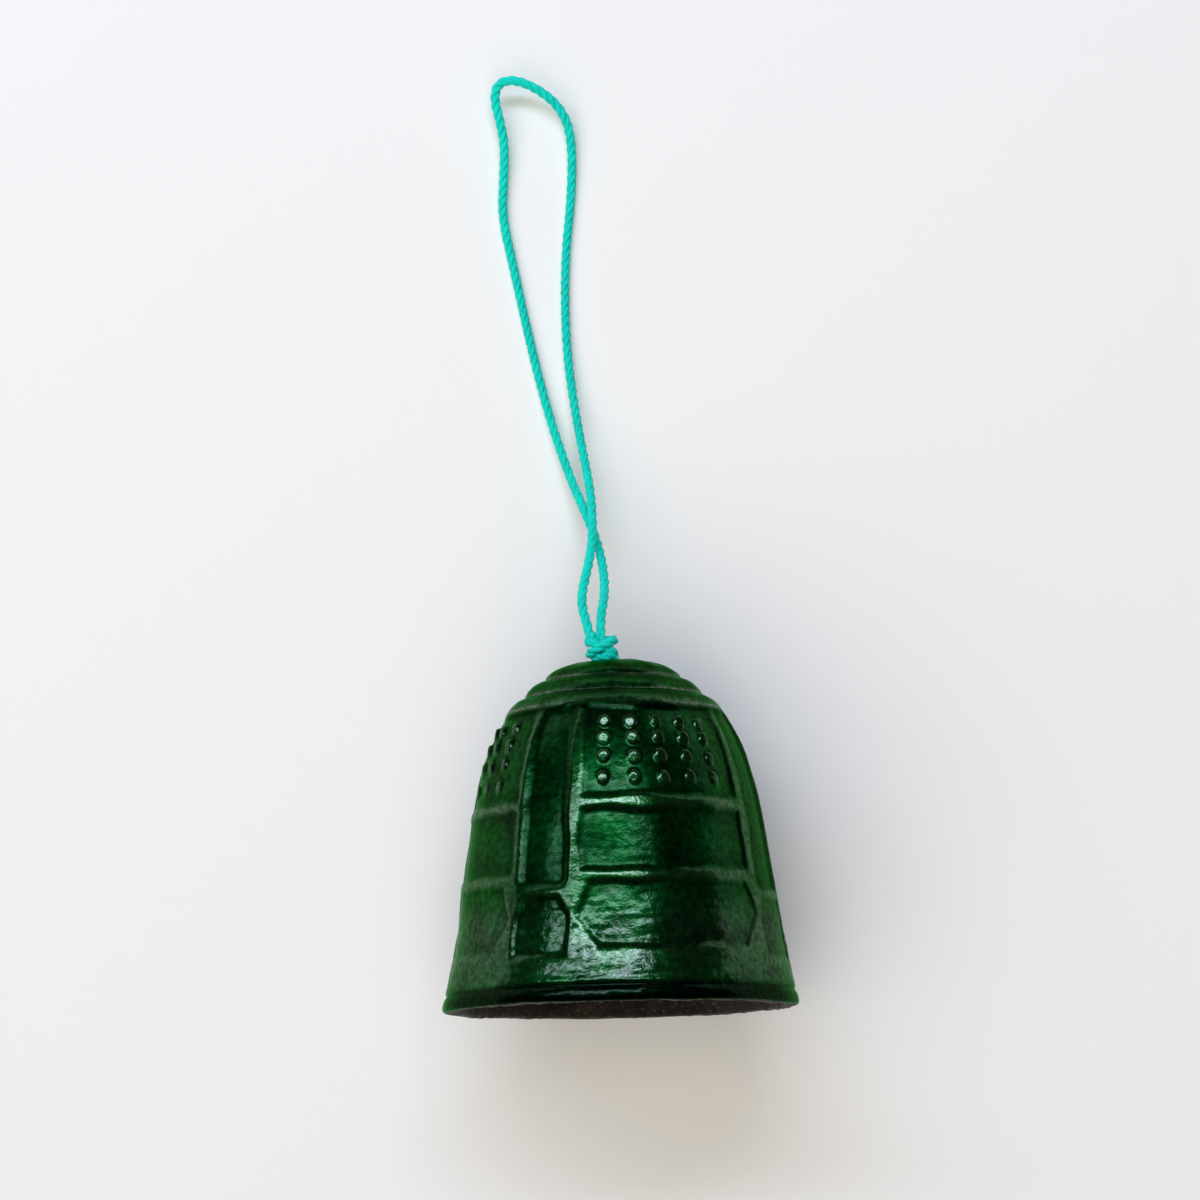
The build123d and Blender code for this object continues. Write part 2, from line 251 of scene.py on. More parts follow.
# The knot on the crown, its two legs and then its turns: across, towards the loop, upwards
top_knot_turns = [
    [
        (-1.75, 2.7, 0.0), (-1.5, 1.8, -0.1), (-0.9, 0.6, -0.5), (0.0, -0.6, -0.8), (0.75, -1.6, -0.4),
        (0.75, -2.6, -0.1),
    ],
    [
        (-0.05, 2.7, 0.0), (0.0, 1.9, 0.0), (0.5, 0.9, -0.4), (1.4, -0.4, -0.8), (2.3, -1.5, -0.4),
        (2.65, -2.6, -0.1),
    ],
    [
        (0.8, 1.2, -1.3), (1.9, 1.45, -0.9), (2.55, 1.3, -0.1), (2.25, 0.95, 0.85), (1.2, 0.4, 1.4),
        (0.1, -0.15, 1.5), (-0.9, -0.7, 1.25), (-1.8, -1.1, 0.7), (-2.25, -1.35, -0.2), (-1.5, -1.3, -1.1),
        (-0.3, -1.0, -1.4),
    ],
    [
        (-0.5, 1.3, -1.2), (-1.8, 1.25, -0.8), (-2.45, 1.0, 0.0), (-2.1, 0.8, 0.85), (-1.1, 0.5, 1.05),
        (0.0, 0.0, 0.45), (1.1, -0.55, 0.6), (2.1, -0.95, 0.75), (2.5, -1.15, 0.0), (1.9, -1.15, -0.9),
        (0.7, -0.9, -1.4),
    ],
    [
        (-1.5, -1.7, -0.9), (-1.0, -2.0, -0.1), (-0.1, -2.05, 0.5), (1.0, -1.95, 0.7), (2.0, -1.85, 0.4),
        (2.2, -1.6, -0.4), (1.4, -1.5, -1.1),
    ],
]


def placed(points, middle, across, along, towards):
    """Points given along three directions from a middle, in the frame."""
    return [tuple(middle + across * x + along * y + towards * z) for x, y, z in points]


def knot_lines(turns, middle, across, along, towards, size=1.0):
    """The smooth lines of a knot's turns."""
    lines = []
    for turn in turns:
        scaled = [tuple(value * size for value in point) for point in turn]
        lines.append(smooth_route(placed(scaled, middle, across, along, towards)))
    return lines


top_knot_middle = np.array(joints["loop_swing"]["pos_m"]) / MM
top_knot = new_object(
    "cord_knot_top",
    rope_mesh("cord_knot_top", knot_lines(top_knot_turns, top_knot_middle, SIDE, AXIS, UP)),
    "loop",
)
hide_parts("top_knot")

# The two strands through the crown, from inside the stop knot to the crown's top
BELL_HEIGHT = 65.3
CEILING = 61.7
STRAND_PLACES = (-1.475, 0.475)
STRAND_HEIGHTS = (CEILING - 1.4, 61.5, 62.8, 64.0, BELL_HEIGHT)
strand_lines = []
for across in STRAND_PLACES:
    strand_route = [(across, height, 0.0) for height in STRAND_HEIGHTS]
    strand_lines.append(smooth_route(placed(strand_route, RIM, SIDE, AXIS, UP)))
strands = new_object("cord_through_crown", rope_mesh("cord_through_crown", strand_lines), "cord")
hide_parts("crown_strands")

# The stop knot inside: the turns of the one on top, a little larger, with legs of its own
STOP_KNOT_SIZE = 1.12
STOP_KNOT_GAP = 0.3
STOP_KNOT_HALF = 2.6
stop_knot_turns = top_knot_turns[2:] + [
    [(-1.0, 2.1, 0.0), (-0.6, 1.2, 0.2), (0.2, 0.0, 0.0), (0.2, -1.2, 0.0), (0.0, -2.0, 0.0)],
    [
        (0.8, 2.1, 0.0), (1.0, 1.2, 0.2), (0.8, 0.0, 0.2), (0.4, -1.0, 0.6), (-0.6, -1.6, 1.2),
        (-1.4, -2.0, 1.4),
    ],
]
stop_knot_middle = RIM + AXIS * (CEILING - STOP_KNOT_GAP - STOP_KNOT_HALF)
stop_knot_lines = knot_lines(stop_knot_turns, stop_knot_middle, SIDE, AXIS, UP, STOP_KNOT_SIZE)
stop_knot = new_object("cord_knot_stop", rope_mesh("cord_knot_stop", stop_knot_lines), "cord")
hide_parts("stop_knot")

# The clapper's cord, the clapper and its knot, which lean until the bead nears the lower wall
CLAPPER_DROP = 45.81
CORD_DROPS = (-0.9, 4.0, 12.0, 22.0, 32.0, 40.0, 46.0, 49.0)
pivot = np.array(joints["clapper_swing"]["pos_m"]) / MM
half_swing = math.radians(joints["clapper_swing"]["range_deg"][1] / 2)
hang = -AXIS * math.cos(half_swing) - UP * math.sin(half_swing)
hang_side = np.cross(SIDE, hang)

hang_route = [(0.0, drop, 0.0) for drop in CORD_DROPS]
hang_line = smooth_route(placed(hang_route, pivot, SIDE, hang, hang_side))
clapper_cord = new_object("cord_of_clapper", rope_mesh("cord_of_clapper", [hang_line]), "clapper")
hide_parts("clapper_cord")

clapper_knot_turns = [
    [
        (0.0, -1.9, 0.0), (0.5, -1.0, 0.4), (0.9, -0.2, 0.8), (0.2, 0.5, 1.2), (-0.9, 0.6, 0.7),
        (-1.2, 0.2, -0.4), (-0.4, -0.4, -1.2), (0.8, -0.6, -0.9), (1.2, -0.1, 0.0), (0.7, 0.7, 0.5),
        (0.0, 1.2, 0.1), (-0.3, 2.1, 0.0),
    ],
    [
        (-0.9, -0.8, 0.4), (-0.2, -0.6, 1.1), (0.9, -0.4, 0.8), (1.1, 0.3, -0.3), (0.2, 0.6, -1.1),
        (-0.9, 0.3, -0.7),
    ],
]
CLAPPER_KNOT_DROP = 49.6
CLAPPER_KNOT_SIZE = 0.95
clapper_knot_middle = pivot + hang * CLAPPER_KNOT_DROP
clapper_knot_lines = knot_lines(
    clapper_knot_turns, clapper_knot_middle, SIDE, hang, hang_side, CLAPPER_KNOT_SIZE
)
clapper_knot_mesh = rope_mesh("cord_knot_clapper", clapper_knot_lines)
clapper_knot = new_object("cord_knot_clapper", clapper_knot_mesh, "clapper")
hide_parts("clapper_knot")


# Turned castings
def spaced(points, step):
    """Points along a polyline, a step apart."""
    points = np.asarray(points, dtype=float)
    lengths = np.concatenate([[0.0], np.cumsum(np.linalg.norm(np.diff(points, axis=0), axis=1))])
    marks = np.linspace(0.0, lengths[-1], max(2, int(round(lengths[-1] / step)) + 1))
    return np.stack([np.interp(marks, lengths, values) for values in points.T], axis=-1)


def eased(value):
    """0 up to 0, 1 from 1 on, and a smooth rise between."""
    value = np.clip(value, 0.0, 1.0)
    return value * value * (3.0 - 2.0 * value)


def blurred(values, rows, columns):
    """Values on a grid, blurred by that many rows and columns, round and round in both."""
    row_wave = np.fft.fftfreq(values.shape[0])[:, None]
    column_wave = np.fft.fftfreq(values.shape[1])[None, :]
    keep = np.exp(-2 * np.pi**2 * ((row_wave * rows) ** 2 + (column_wave * columns) ** 2))
    return np.real(np.fft.ifft2(np.fft.fft2(values) * keep))


def grain(shape, rows, columns):
    """Smooth random unevenness with grains of about that many rows and columns."""
    values = blurred(rng.standard_normal(shape), rows, columns)
    return values / values.std()


def natural_curve(heights, radii):
    """A smooth radius for each height, through the given points."""
    heights, radii = np.asarray(heights), np.asarray(radii)
    count = len(heights)
    gaps = np.diff(heights)
    matrix = np.eye(count)
    right = np.zeros(count)
    for i in range(1, count - 1):
        matrix[i, i - 1] = gaps[i - 1]
        matrix[i, i] = 2 * (gaps[i - 1] + gaps[i])
        matrix[i, i + 1] = gaps[i]
        right[i] = 6 * ((radii[i + 1] - radii[i]) / gaps[i] - (radii[i] - radii[i - 1]) / gaps[i - 1])
    bend = np.linalg.solve(matrix, right)

    def radius(height):
        i = np.clip(np.searchsorted(heights, height) - 1, 0, count - 2)
        gap = gaps[i]
        low = height - heights[i]
        high = heights[i + 1] - height
        return (
            bend[i] * high**3 / (6 * gap)
            + bend[i + 1] * low**3 / (6 * gap)
            + (radii[i] / gap - bend[i] * gap / 6) * high
            + (radii[i + 1] / gap - bend[i + 1] * gap / 6) * low
        )

    return radius


def arc_points(start, end, bulge, count=14):
    """Points on an arc from start to end that stands out by the bulge at its middle."""
    start, end = np.array(start), np.array(end)
    along = end - start
    out = np.array((along[1], -along[0])) / np.linalg.norm(along)
    share = np.linspace(0.0, 1.0, count)[:, None]
    return start + along * share + out * bulge * 4 * share * (1 - share)


# The wall's outside, as shares of the bell's height and of the rim's radius
RIM_RADIUS = 33.0
wall_shares = [
    (0.055, 0.983), (0.138, 0.948), (0.245, 0.913), (0.398, 0.870),
    (0.536, 0.830), (0.674, 0.768), (0.766, 0.7015), (0.842, 0.618),
]
wall_heights = [share[0] * BELL_HEIGHT for share in wall_shares]
wall_radii = [share[1] * RIM_RADIUS for share in wall_shares]
wall_radius = natural_curve(wall_heights, wall_radii)

# The outside, from the rim's outer edge up to the crown hole, as (radius, height)
HOLE_RADIUS = 2.7
WALL_STEP = 0.25
OUTER_STEP = 0.27
DOME_POINTS = 30
lip = [
    (32.35, 0.0), (32.72, 0.1), (32.93, 0.35), (33.0, 0.8), (32.96, 1.3), (32.82, 1.9), (32.6, 2.35),
    (32.36, 2.65), (32.27, 2.95),
]
row_heights = np.arange(wall_heights[0], wall_heights[-1], WALL_STEP)
wall_rows = [(float(wall_radius(height)), float(height)) for height in row_heights]
wall_end = (wall_radii[-1], wall_heights[-1])
tier_low = (0.509 * RIM_RADIUS, 0.887 * BELL_HEIGHT)
tier_high = (0.388 * RIM_RADIUS, 0.937 * BELL_HEIGHT)
dome_rise = BELL_HEIGHT - tier_high[1]
dome_turns = np.linspace(0.0, math.acos(HOLE_RADIUS / tier_high[0]), DOME_POINTS)
dome = [
    (tier_high[0] * math.cos(turn), tier_high[1] + dome_rise * math.sin(turn)) for turn in dome_turns
]
low_tier = arc_points(wall_end, tier_low, bulge=0.55)
high_tier = arc_points(tier_low, tier_high, bulge=0.8)
crown = spaced(np.concatenate([low_tier, high_tier[1:], dome[1:]]), OUTER_STEP)
outer = np.concatenate([spaced(lip + wall_rows, OUTER_STEP), crown])

# The inside, from the crown hole back down to the rim's inner edge and across the rim
WALL = 2.6
INSIDE_STEP = 0.9
NEAR_RIM_STEP = 0.35
RIM_STEP = 0.4
inner_wall = [(wall_radii[i] - WALL, wall_heights[i]) for i in range(6, 0, -1)]
inner_wall += [(30.05, 0.35), (30.2, 0.08), (30.5, 0.0)]
vault = [(HOLE_RADIUS, CEILING - 0.15), (6.0, 61.0), (10.0, 59.4), (14.0, 56.8), (17.6, 53.2)]
hole = [(HOLE_RADIUS, dome[-1][1] - 0.5), (HOLE_RADIUS, 63.0)]
inside_far = spaced(hole + vault + inner_wall[:4], INSIDE_STEP)
inside_near = spaced(inner_wall[3:], NEAR_RIM_STEP)
rim_face = spaced([(30.9, 0.0), (32.1, 0.0)], RIM_STEP)

profile = np.concatenate([outer, inside_far, inside_near[1:], rim_face])
outer_rows = len(outer)
COLUMNS = 760
turns = np.linspace(0.0, 2 * np.pi, COLUMNS, endpoint=False)

# Normals of the profile, to the right of its way round, which is out of the metal
steps = np.roll(profile, -1, axis=0) - np.roll(profile, 1, axis=0)
steps /= np.linalg.norm(steps, axis=1)[:, None]
outward = steps[:, 1][:, None]
upward = -steps[:, 0][:, None]

# Each row's radius, height and length so far, as columns
shape = (len(profile), COLUMNS)
radii = profile[:, 0][:, None]
heights = profile[:, 1][:, None]
lengths = np.linalg.norm(np.diff(profile, axis=0), axis=1)
lengths = np.concatenate([[0.0], np.cumsum(lengths)])[:, None]
is_outside = (np.arange(len(profile)) < outer_rows)[:, None]
outside = np.where(is_outside, 1.0, 0.0)


# Cast relief on the outside, in millimetres
RELIEF = 0.45
EDGE = 1.6
GUTTER_DEPTH = 0.02
GUTTER_PLACE = 0.1
GUTTER_HALF = 0.8
RELIEF_START = 4.0


def off_turn(degrees_from_up):
    """How far round each column is from an angle, in radians."""
    return (turns[None, :] - math.radians(degrees_from_up) + np.pi) % (2 * np.pi) - np.pi


def box_field(turn, width, low, high, corner=0.5):
    """How deep each point lies inside a field with straight sides, in millimetres."""
    across = np.abs(off_turn(turn)) * radii - math.radians(width / 2) * radii + corner
    along = np.abs(heights - (low + high) / 2) - (high - low) / 2 + corner
    round_corner = np.hypot(np.maximum(across, 0), np.maximum(along, 0))
    return corner - round_corner - np.minimum(np.maximum(across, along), 0)


def shaped_field(turn, corners):
    """How deep each point lies inside a field with slanted sides: corners as (degrees, height)."""
    across = off_turn(turn) * radii
    depth = np.full(shape, np.inf)
    for (a1, h1), (a2, h2) in zip(corners, corners[1:] + corners[:1]):
        x1 = math.radians(a1) * float(wall_radius(h1))
        x2 = math.radians(a2) * float(wall_radius(h2))
        length = math.hypot(x2 - x1, h2 - h1)
        inwards = ((across - x1) * (h2 - h1) - (heights - h1) * (x2 - x1)) / length
        depth = np.minimum(depth, inwards)
    return depth


# Two panels, as (turn, width, columns of bosses), the two bands between them, as (turn, width), and
# the turns that the panels' bosses stand round, all in degrees
PANELS = ((20.4, 67.8, 5), (-68.0, 50.0, 3))
BANDS = ((-28.25, 29.5), (70.65, 32.7))
BOSS_TURNS = (19.6, -67.85)

# Degrees of the ridge beside a panel, of a hexagon's narrowing, and of the ridge at its widest
BORDER, FUNNEL, STEM = 6.0, 6.5, 3.8

# Heights of the fields' lower and upper edges
FIELD_TOP = 0.832 * BELL_HEIGHT
BOSS_FIELD_LOW = 0.570 * BELL_HEIGHT
PLAIN_FIELD = (0.366 * BELL_HEIGHT, 0.533 * BELL_HEIGHT)
HEXAGON = (0.150 * BELL_HEIGHT, 0.328 * BELL_HEIGHT)
BAND_LOW = 0.322 * BELL_HEIGHT
HOUSE = (0.128 * BELL_HEIGHT, 0.294 * BELL_HEIGHT)

# Where the roof of the field under a band starts, as a share of that field's height
HOUSE_EAVES = 0.667

# How deep each kind of field is cast, as a share of the relief
HEXAGON_SHARE = 0.75
BAND_SHARE = 1.25
HOUSE_SHARE = 0.7

# A band's sloping edge on its left, 1 mm wider than on its right, and its round corners
BAND_EDGE = 2.7
BAND_CORNER = 1.6


def hexagon(width):
    """The corners of the field with slanted sides at the foot of a panel."""
    low, high = HEXAGON
    edge = width / 2
    right = [
        (edge - FUNNEL / 2, high),
        (edge + (BORDER - STEM) / 2, (low + high) / 2),
        (edge - FUNNEL, low),
    ]
    return right + [(-angle, height) for angle, height in reversed(right)]


def house(width):
    """The corners of the field with a roof at the foot of a band."""
    low, high = HOUSE
    edge = (width - BORDER - STEM) / 2
    right = [(edge - FUNNEL / 2, high), (edge, low + (high - low) * HOUSE_EAVES), (edge, low)]
    return right + [(-angle, height) for angle, height in reversed(right)]


# The fields, on each half of the bell, as (depth of each point inside, share of the relief, edge)
fields = []
for half in (0, 180):
    for turn, width, _ in PANELS:
        fields.append((box_field(turn + half, width, BOSS_FIELD_LOW, FIELD_TOP), 1.0, EDGE))
        fields.append((box_field(turn + half, width, *PLAIN_FIELD), 1.0, EDGE))
        fields.append((shaped_field(turn + half, hexagon(width)), HEXAGON_SHARE, EDGE))
    for turn, width in BANDS:
        side = np.clip(0.5 + 2.0 * off_turn(turn + half), 0.0, 1.0)
        band = box_field(turn + half, width - 2 * BORDER, BAND_LOW, FIELD_TOP, BAND_CORNER)
        fields.append((band, BAND_SHARE, BAND_EDGE - side))
        fields.append((shaped_field(turn + half, house(width)), HOUSE_SHARE, EDGE))

# Each field is sunk, with a gutter along its uneven edge
WOBBLE = 0.16
wobble = WOBBLE * grain(shape, 7.0, 8.0)
# How strong each gutter is, unevenly; gutters carry painted shade as well as depth
gutter_unevenness = np.clip(0.75 + 0.25 * grain(shape, 14.0, 14.0), 0.2, 1.0)
sink = np.zeros(shape)
gutter = np.zeros(shape)
for depth, amount, edge in fields:
    depth = depth + wobble
    sink = np.maximum(sink, amount * eased(depth / edge + 0.5))
    groove = np.exp(-(((depth - GUTTER_PLACE) / GUTTER_HALF) ** 2))
    gutter = np.maximum(gutter, amount * gutter_unevenness * groove)

on_wall = is_outside & (heights > RELIEF_START)
sink = np.where(on_wall, sink, 0.0)
gutter = np.where(on_wall, gutter, 0.0)
relief = -RELIEF * sink - GUTTER_DEPTH * gutter

# Ridges, corners and sides of the fields, for the enamel's colour, its painted highlight and its painted
# shade
RIDGE = 0.35
softened = blurred(relief, 0.55, 0.55)
proud = softened - blurred(softened, 7.0, 7.0)
# Ridges come out lighter: partly enamel running thinner there, partly a painted highlight
thin_and_highlight = np.clip(proud / RIDGE, 0.0, 1.0)
facing_left = np.gradient(softened, axis=1) / (radii * (turns[1] - turns[0]))

# Bosses, in four rows on each upper field, with tops less steep than the wall: heights of the rows,
# how fast their tops rise from it, half their width and length, and their pitch in degrees
BOSS_ROWS = (51.3, 48.1, 44.5, 40.6)
BOSS_RISES = (0.30, 0.25, 0.18, 0.11)
BOSS_ACROSS, BOSS_ALONG = 1.4, 1.75
BOSS_SIDE = 0.42
BOSS_PITCH = 12.2
BOSS_BASE = 0.07
BOSS_LEAN = 0.08
BOSS_SIZE_SPREAD = 0.06
BOSS_PLACE_SPREAD = 0.12
boss_shade = np.zeros(shape)
boss_top = np.zeros(shape)


def outer_row(height):
    """The number of the outside's row nearest to a height."""
    return int(np.argmin(np.abs(profile[:outer_rows, 1] - height)))


for half in (0, 180):
    for turn, (_, _, columns) in zip(BOSS_TURNS, PANELS):
        for column in range(columns):
            angle = turn + half + (column - (columns - 1) / 2) * BOSS_PITCH
            for row_height, rise in zip(BOSS_ROWS, BOSS_RISES):
                row = outer_row(row_height)
                size = 1.0 + BOSS_SIZE_SPREAD * rng.standard_normal()
                shift = BOSS_PLACE_SPREAD * rng.standard_normal(2)
                across = off_turn(angle) * radii + shift[0]
                along = lengths - lengths[row] + shift[1]
                away = np.hypot(across / (BOSS_ACROSS * size), along / (BOSS_ALONG * size))
                # Up and to the right its side is softer, and shade is painted at its foot
                towards = 0.45 * across / BOSS_ACROSS + 0.9 * along / BOSS_ALONG
                towards = towards / np.maximum(away, 0.2)
                side = BOSS_SIDE * (1.0 + 0.3 * np.clip(towards, -1.0, 1.0))
                boss = eased((1.0 - away) / side)
                boss_top = np.maximum(boss_top, np.where(on_wall, boss, 0.0))
                top = BOSS_BASE + rise * (along + 1.5) + BOSS_LEAN * (across + 1.2)
                boss = boss * np.maximum(top, 0.0)
                relief = relief + np.where(on_wall, boss, 0.0)
                foot = np.exp(-(((away - 0.92) / 0.3) ** 2)) * eased(0.35 + 0.75 * towards)
                boss_shade = np.maximum(boss_shade, np.where(on_wall, foot, 0.0))

# Blisters of enamel where it gathered above the lip, as (turn, height, radius, rise)
BLISTER_EDGE = 0.17
BLISTERS = (
    (7.2, 2.5, 0.55, 0.16), (-12.5, 3.7, 0.5, 0.14), (-16.0, 3.0, 0.4, 0.1), (-31.0, 2.6, 0.3, 0.12),
    (33.0, 2.8, 0.5, 0.12), (61.0, 3.1, 0.4, 0.1), (118.0, 2.6, 0.5, 0.13), (171.0, 3.0, 0.35, 0.12),
    (208.0, 2.7, 0.5, 0.13), (247.0, 3.2, 0.4, 0.1), (282.0, 2.5, 0.45, 0.12), (316.0, 3.0, 0.4, 0.1),
)
for angle, height, ring, rise in BLISTERS:
    away = np.hypot(off_turn(angle) * radii, heights - height)
    bump = rise * np.exp(-(((away - ring) / BLISTER_EDGE) ** 2))
    relief = relief + outside * bump

# Enamel rounds the relief a little, and all of the casting is uneven
relief = blurred(relief, 0.5, 0.5)
broad = grain(shape, 16, 16)
lumps = grain(shape, 5.5, 6.5)
streaks = grain(shape, 1.3, 9.0)
pits = grain(shape, 1.6, 1.6)
low_part = eased((26.0 - heights) / 12.0)
uneven = outside * (
    0.07 * broad
    + 0.022 * lumps
    + (0.006 + 0.012 * low_part) * streaks
    + (0.004 + 0.008 * low_part) * pits
)
iron_rough = (1.0 - outside) * (0.07 * lumps + 0.06 * pits + 0.04 * streaks)
offset = relief + uneven + iron_rough

# Painted shade where shade falls: in corners and gutters, on sides that face left, at the foot of bosses,
# on ledges, on the shoulder, just under each of the crown's creases, on the dome and on the lip
PAINTED_SHADE_IN_CORNERS = 0.8
PAINTED_SHADE_IN_GUTTERS = 0.25
PAINTED_SHADE_FACING_LEFT = 0.6
PAINTED_SHADE_AT_BOSSES = 0.9
PAINTED_SHADE_ON_LEDGES = 0.4
PAINTED_SHADE_ON_SHOULDER = 0.72
PAINTED_SHADE_UNDER_CREASES = 0.95
PAINTED_SHADE_ON_DOME = 0.8
ledge = -np.gradient(blurred(relief, 1.0, 1.0), axis=0) / np.gradient(lengths, axis=0)
steep = eased((upward - 0.55) / 0.3) * outside
glint = np.zeros_like(lengths)
under_crease = np.zeros_like(lengths)
for crease_height in (tier_high[1], tier_low[1], wall_end[1]):
    crease = lengths[outer_row(crease_height)]
    under_crease = np.maximum(under_crease, np.exp(-(((lengths - crease + 0.85) / 0.75) ** 2)))
    glint = np.maximum(glint, np.exp(-(((lengths - crease - 0.25) / 0.3) ** 2)))
on_lip = eased((3.6 - heights) / 0.8) * outside
painted_shade = np.clip(-proud / RIDGE, 0.0, PAINTED_SHADE_IN_CORNERS)
for shade_part in (
    PAINTED_SHADE_IN_GUTTERS * gutter,
    PAINTED_SHADE_FACING_LEFT * eased((facing_left - 0.06) / 0.2) * outside,
    PAINTED_SHADE_AT_BOSSES * boss_shade,
    PAINTED_SHADE_ON_LEDGES * eased((ledge - 0.08) / 0.5) * outside,
    (PAINTED_SHADE_ON_SHOULDER + 0.1 * broad) * steep,
    PAINTED_SHADE_UNDER_CREASES * under_crease * outside,
    PAINTED_SHADE_ON_DOME * eased((heights - 61.0) / 4.0) * outside,
):
    painted_shade = np.maximum(painted_shade, shade_part)

# How much the clear skin shines: most on ridges and bosses, low on the wall and in the crown's
# creases, and least where shade is painted
SKIN_EVERYWHERE = 0.4
SKIN_ON_RIDGES = 2.9
SKIN_IN_CREASES = 3.0
SKIN_ON_BOSSES = 1.8
SKIN_ON_LIP = 0.25
low_wall = eased((21.0 - heights) / 8.0) * eased((heights - 3.0) / 1.5)
skin = SKIN_EVERYWHERE + SKIN_ON_RIDGES * thin_and_highlight + low_wall
skin = skin + SKIN_IN_CREASES * glint + SKIN_ON_BOSSES * boss_top
skin = skin * (1.0 - 0.92 * np.maximum(painted_shade, 0.9 * steep) * (1.0 - glint)) * outside
skin = np.where(on_lip > 0.5, SKIN_ON_LIP, skin)
# Painted shade on the lip as well
painted_shade = np.maximum(painted_shade, on_lip)

# The crown hole stays where the casting has it
offset = offset * eased((radii - HOLE_RADIUS) / 1.5)

radius = radii + offset * outward
height = heights + offset * upward
around_up = np.cos(turns)[None, :, None] * UP + np.sin(turns)[None, :, None] * SIDE
bell_points = RIM + around_up * radius[..., None] + AXIS * height[..., None]
bell_faces = quads(len(profile), COLUMNS, closed_rows=True)[:, ::-1]
unrolled = np.stack(
    [
        np.broadcast_to(turns[None, :] / (2 * np.pi), shape),
        np.broadcast_to(lengths / lengths[-1], shape),
    ],
    axis=-1,
).reshape(-1, 2)
bell_uvs = unrolled[bell_faces]
wrap = bell_uvs[..., 0].max(axis=1, keepdims=True) - bell_uvs[..., 0] > 0.5
bell_uvs[..., 0] = np.where(wrap, bell_uvs[..., 0] + 1.0, bell_uvs[..., 0])
bell_mesh = fill_mesh(
    "bell_casting",
    bell_points.reshape(-1, 3),
    bell_faces,
    bell_uvs,
    {"thin_and_highlight": thin_and_highlight, "painted_shade": painted_shade, "skin": skin},
)
bell = new_object("bell_casting", bell_mesh, "bell")
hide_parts("bell_body")
face_rows = np.arange(len(bell_faces)) // COLUMNS
bell_mesh.polygons.foreach_set("material_index", (face_rows >= outer_rows - 1).astype(np.int32))

# The clapper: a round disc with a bead for its edge and a hub for the cord, as (radius, drop)
CLAPPER_COLUMNS = 96
CLAPPER_STEP = 0.33
clapper_outline = [
    (1.3, 1.95), (1.6, 2.05), (7.5, 2.0), (8.4, 1.8), (9.1, 1.2), (9.45, 0.4), (9.45, -0.4),
    (9.1, -1.2), (8.4, -1.75), (7.5, -2.0), (5.6, -2.55), (3.6, -3.3), (3.0, -3.58), (1.6, -3.6),
    (1.3, -3.45), (1.25, -2.0), (1.25, 1.0), (1.3, 1.95),
]
clapper_profile = spaced(clapper_outline, CLAPPER_STEP)[:-1]
clapper_turns = np.linspace(0.0, 2 * np.pi, CLAPPER_COLUMNS, endpoint=False)
clapper_offset = 0.07 * grain((len(clapper_profile), CLAPPER_COLUMNS), 2.5, 2.5)
clapper_offset = clapper_offset * eased((clapper_profile[:, 0][:, None] - 1.3) / 1.5)
clapper_radius = clapper_profile[:, 0][:, None] + clapper_offset
clapper_round = (
    np.cos(clapper_turns)[None, :, None] * hang_side + np.sin(clapper_turns)[None, :, None] * SIDE
)
clapper_points = (
    pivot
    + hang * (CLAPPER_DROP + clapper_profile[:, 1])[:, None, None]
    + clapper_round * clapper_radius[..., None]
)
clapper_mesh = fill_mesh(
    "clapper_disc",
    clapper_points.reshape(-1, 3),
    quads(len(clapper_profile), CLAPPER_COLUMNS, closed_rows=True),
)
clapper = new_object("clapper_disc", clapper_mesh, "clapper")
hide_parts("clapper")


# Materials
def new_material(name):
    """A material with its nodes and links."""
    material = bpy.data.materials.new(name)
    material.use_nodes = True
    return material, material.node_tree.nodes, material.node_tree.links


def ramp(nodes, links, value, first, last):
    """A value's colour between two stops, each given as (position, colour or grey)."""
    made = nodes.new("ShaderNodeValToRGB")
    links.new(value, made.inputs[0])
    for element, (position, colour) in zip(made.color_ramp.elements, (first, last)):
        element.position = position
        element.color = (*(colour if isinstance(colour, tuple) else (colour,) * 3), 1.0)
    return made.outputs[0]


def attribute(nodes, name):
    """The value of one of the mesh's own attributes."""
    made = nodes.new("ShaderNodeAttribute")
    made.attribute_name = name
    return made.outputs["Fac"]


def mixed(nodes, links, factor, first, second, blend="MIX"):
    """The output of a colour mix of two sockets or plain colours."""
    made = nodes.new("ShaderNodeMix")
    made.data_type = "RGBA"
    made.blend_type = blend
    for socket, value in ((made.inputs[0], factor), (made.inputs[6], first), (made.inputs[7], second)):
        if isinstance(value, bpy.types.NodeSocket):
            links.new(value, socket)
        elif isinstance(value, (int, float)):
            socket.default_value = value
        else:
            socket.default_value = (*value, 1.0)
    return made.outputs[2]


def calculated(nodes, links, operation, *values):
    """The result of a sum on sockets or plain numbers."""
    made = nodes.new("ShaderNodeMath")
    made.operation = operation
    for socket, value in zip(made.inputs, values):
        if isinstance(value, bpy.types.NodeSocket):
            links.new(value, socket)
        else:
            socket.default_value = value
    return made.outputs[0]


def noise(nodes, links, place, scale, detail=3.0, rough=0.55):
    """Noise of that many grains a metre."""
    made = nodes.new("ShaderNodeTexNoise")
    made.inputs["Scale"].default_value = scale
    made.inputs["Detail"].default_value = detail
    made.inputs["Roughness"].default_value = rough
    links.new(place, made.inputs["Vector"])
    return made.outputs["Fac"]


def stretched(nodes, links, place, scale):
    """A place scaled along each of its directions."""
    made = nodes.new("ShaderNodeMapping")
    made.inputs["Scale"].default_value = scale
    links.new(place, made.inputs["Vector"])
    return made.outputs["Vector"]


